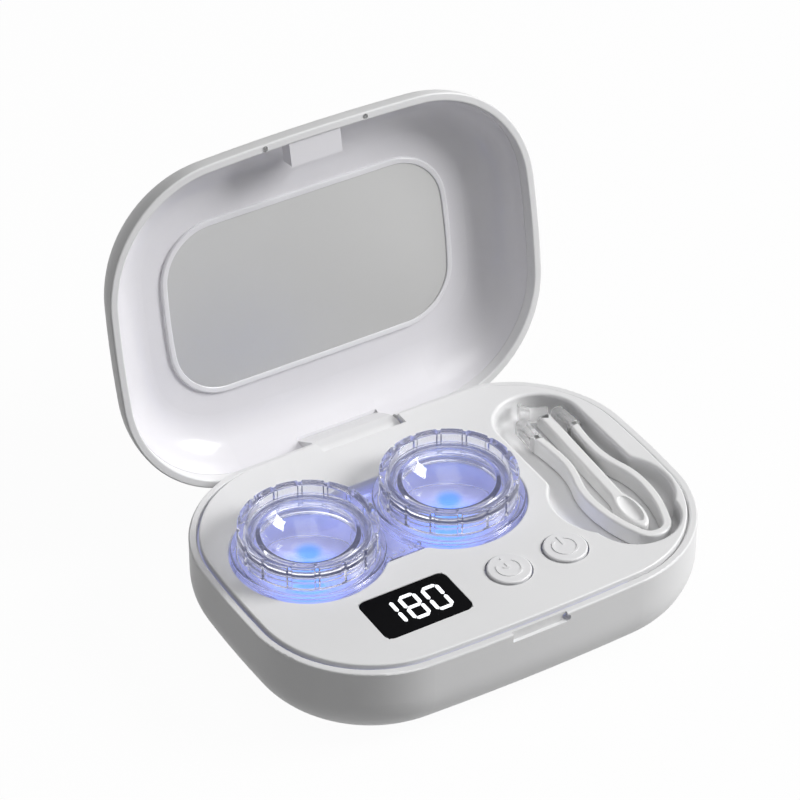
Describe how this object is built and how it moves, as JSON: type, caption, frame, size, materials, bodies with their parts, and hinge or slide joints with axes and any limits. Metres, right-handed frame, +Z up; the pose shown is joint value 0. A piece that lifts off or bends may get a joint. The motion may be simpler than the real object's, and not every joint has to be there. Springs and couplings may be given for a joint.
{
  "type": "contact lens cleaner",
  "caption": "Oval pocket case with a mirror lid that cleans contact lenses in a lit, vibrating two-cup lens case, with a timer display, keys, tweezers and an applicator stick.",
  "frame": {"origin": "centre of the foot pad's underside, which is the face the case rests on", "axes": "+X along the case's length towards the charging port and the tool recess, +Y towards the hinge, +Z up"},
  "size_m": [0.1, 0.0976, 0.0864],
  "materials": {
    "shell_plastic": "satin white",
    "deck_plastic": "satin white",
    "liner_plastic": "gloss white",
    "bezel_plastic": "gloss white",
    "mirror_glass": "polished",
    "window_glass": "gloss black",
    "digit_light": "lit white",
    "key_plastic": "satin white",
    "clear_plastic": "clear with a faint lavender tint",
    "seal_silicone": "translucent",
    "tool_plastic": "smooth white",
    "soft_clear": "clear soft silicone",
    "pad_rubber": "matt",
    "board_laminate": "printed circuit board",
    "module_plastic": "black",
    "switch_plastic": "black",
    "steel": "plated",
    "magnet_metal": "nickel plated",
    "ceramic_disc": "brass faced ceramic",
    "led_resin": "blue light",
    "cell_foil": "foil pouch"
  },
  "bodies": {
    "base": {"base_shell": "shell_plastic", "deck_panel": "deck_plastic", "foot_pad": "pad_rubber", "case_screws": "steel", "base_magnet": "magnet_metal", "display_window": "window_glass", "display_digits": "digit_light", "display_module": "module_plastic", "main_board": "board_laminate", "board_screws": "steel", "tact_switches": "switch_plastic", "light_windows": "clear_plastic", "vibration_discs": "ceramic_disc", "led_board": "board_laminate", "blue_leds": "led_resin", "battery": "cell_foil", "usb_socket": "steel", "charge_board": "board_laminate", "hinge_pin": "steel"},
    "lid": {"lid_shell": "shell_plastic", "lid_liner": "liner_plastic", "mirror_bezel": "bezel_plastic", "mirror": "mirror_glass", "magnet_block": "liner_plastic", "lid_magnet": "magnet_metal", "rim_bumper": "soft_clear"},
    "timer_key": {"timer_button": "key_plastic", "timer_plunger": "switch_plastic"},
    "power_key": {"power_button": "key_plastic", "power_plunger": "switch_plastic"},
    "lens_case": {"lens_case": "clear_plastic"},
    "left_seal": {"left_seal": "seal_silicone"},
    "left_cap": {"left_cap": "clear_plastic"},
    "right_seal": {"right_seal": "seal_silicone"},
    "right_cap": {"right_cap": "clear_plastic"},
    "tweezers": {"tweezers": "tool_plastic", "tweezer_tips": "soft_clear"},
    "applicator": {"applicator_stick": "tool_plastic", "suction_cup": "soft_clear"}
  },
  "joints": [
    {"name": "lid_hinge", "type": "hinge", "parent": "base", "child": "lid", "pos_m": [0, 0.0344, 0.0168], "axis": [-1, 0, 0], "range_deg": [-100.27, 0]},
    {"name": "timer_press", "type": "slide", "parent": "base", "child": "timer_key", "axis": [0, 0, -1], "range_m": [0, 0.0005], "stiffness_N_per_m": 1500, "springref_m": -0.0004},
    {"name": "power_press", "type": "slide", "parent": "base", "child": "power_key", "axis": [0, 0, -1], "range_m": [0, 0.0005], "stiffness_N_per_m": 1500, "springref_m": -0.0004},
    {"name": "lens_case_lift", "type": "slide", "parent": "base", "child": "lens_case", "axis": [0, 0, 1], "range_m": [0, 0.028]},
    {"name": "left_cap_lift", "type": "slide", "parent": "lens_case", "child": "left_seal", "axis": [0, 0, 1], "range_m": [0, 0.003]},
    {"name": "left_cap_turn", "type": "hinge", "parent": "left_seal", "child": "left_cap", "pos_m": [-0.0286, 0.0051, 0.024], "axis": [0, 0, 1], "range_deg": [0, 360]},
    {"name": "right_cap_lift", "type": "slide", "parent": "lens_case", "child": "right_seal", "axis": [0, 0, 1], "range_m": [0, 0.003]},
    {"name": "right_cap_turn", "type": "hinge", "parent": "right_seal", "child": "right_cap", "pos_m": [0.0043, 0.0051, 0.024], "axis": [0, 0, 1], "range_deg": [0, 360]},
    {"name": "tweezers_lift", "type": "slide", "parent": "base", "child": "tweezers", "axis": [0, 0, 1], "range_m": [0, 0.025]},
    {"name": "applicator_lift", "type": "slide", "parent": "base", "child": "applicator", "axis": [0, 0, 1], "range_m": [0, 0.025]}
  ],
  "couplings": [
    {"joint": "left_cap_turn", "follows": "left_cap_lift", "rad_per_m": 2094},
    {"joint": "right_cap_turn", "follows": "right_cap_lift", "rad_per_m": 2094}
  ]
}
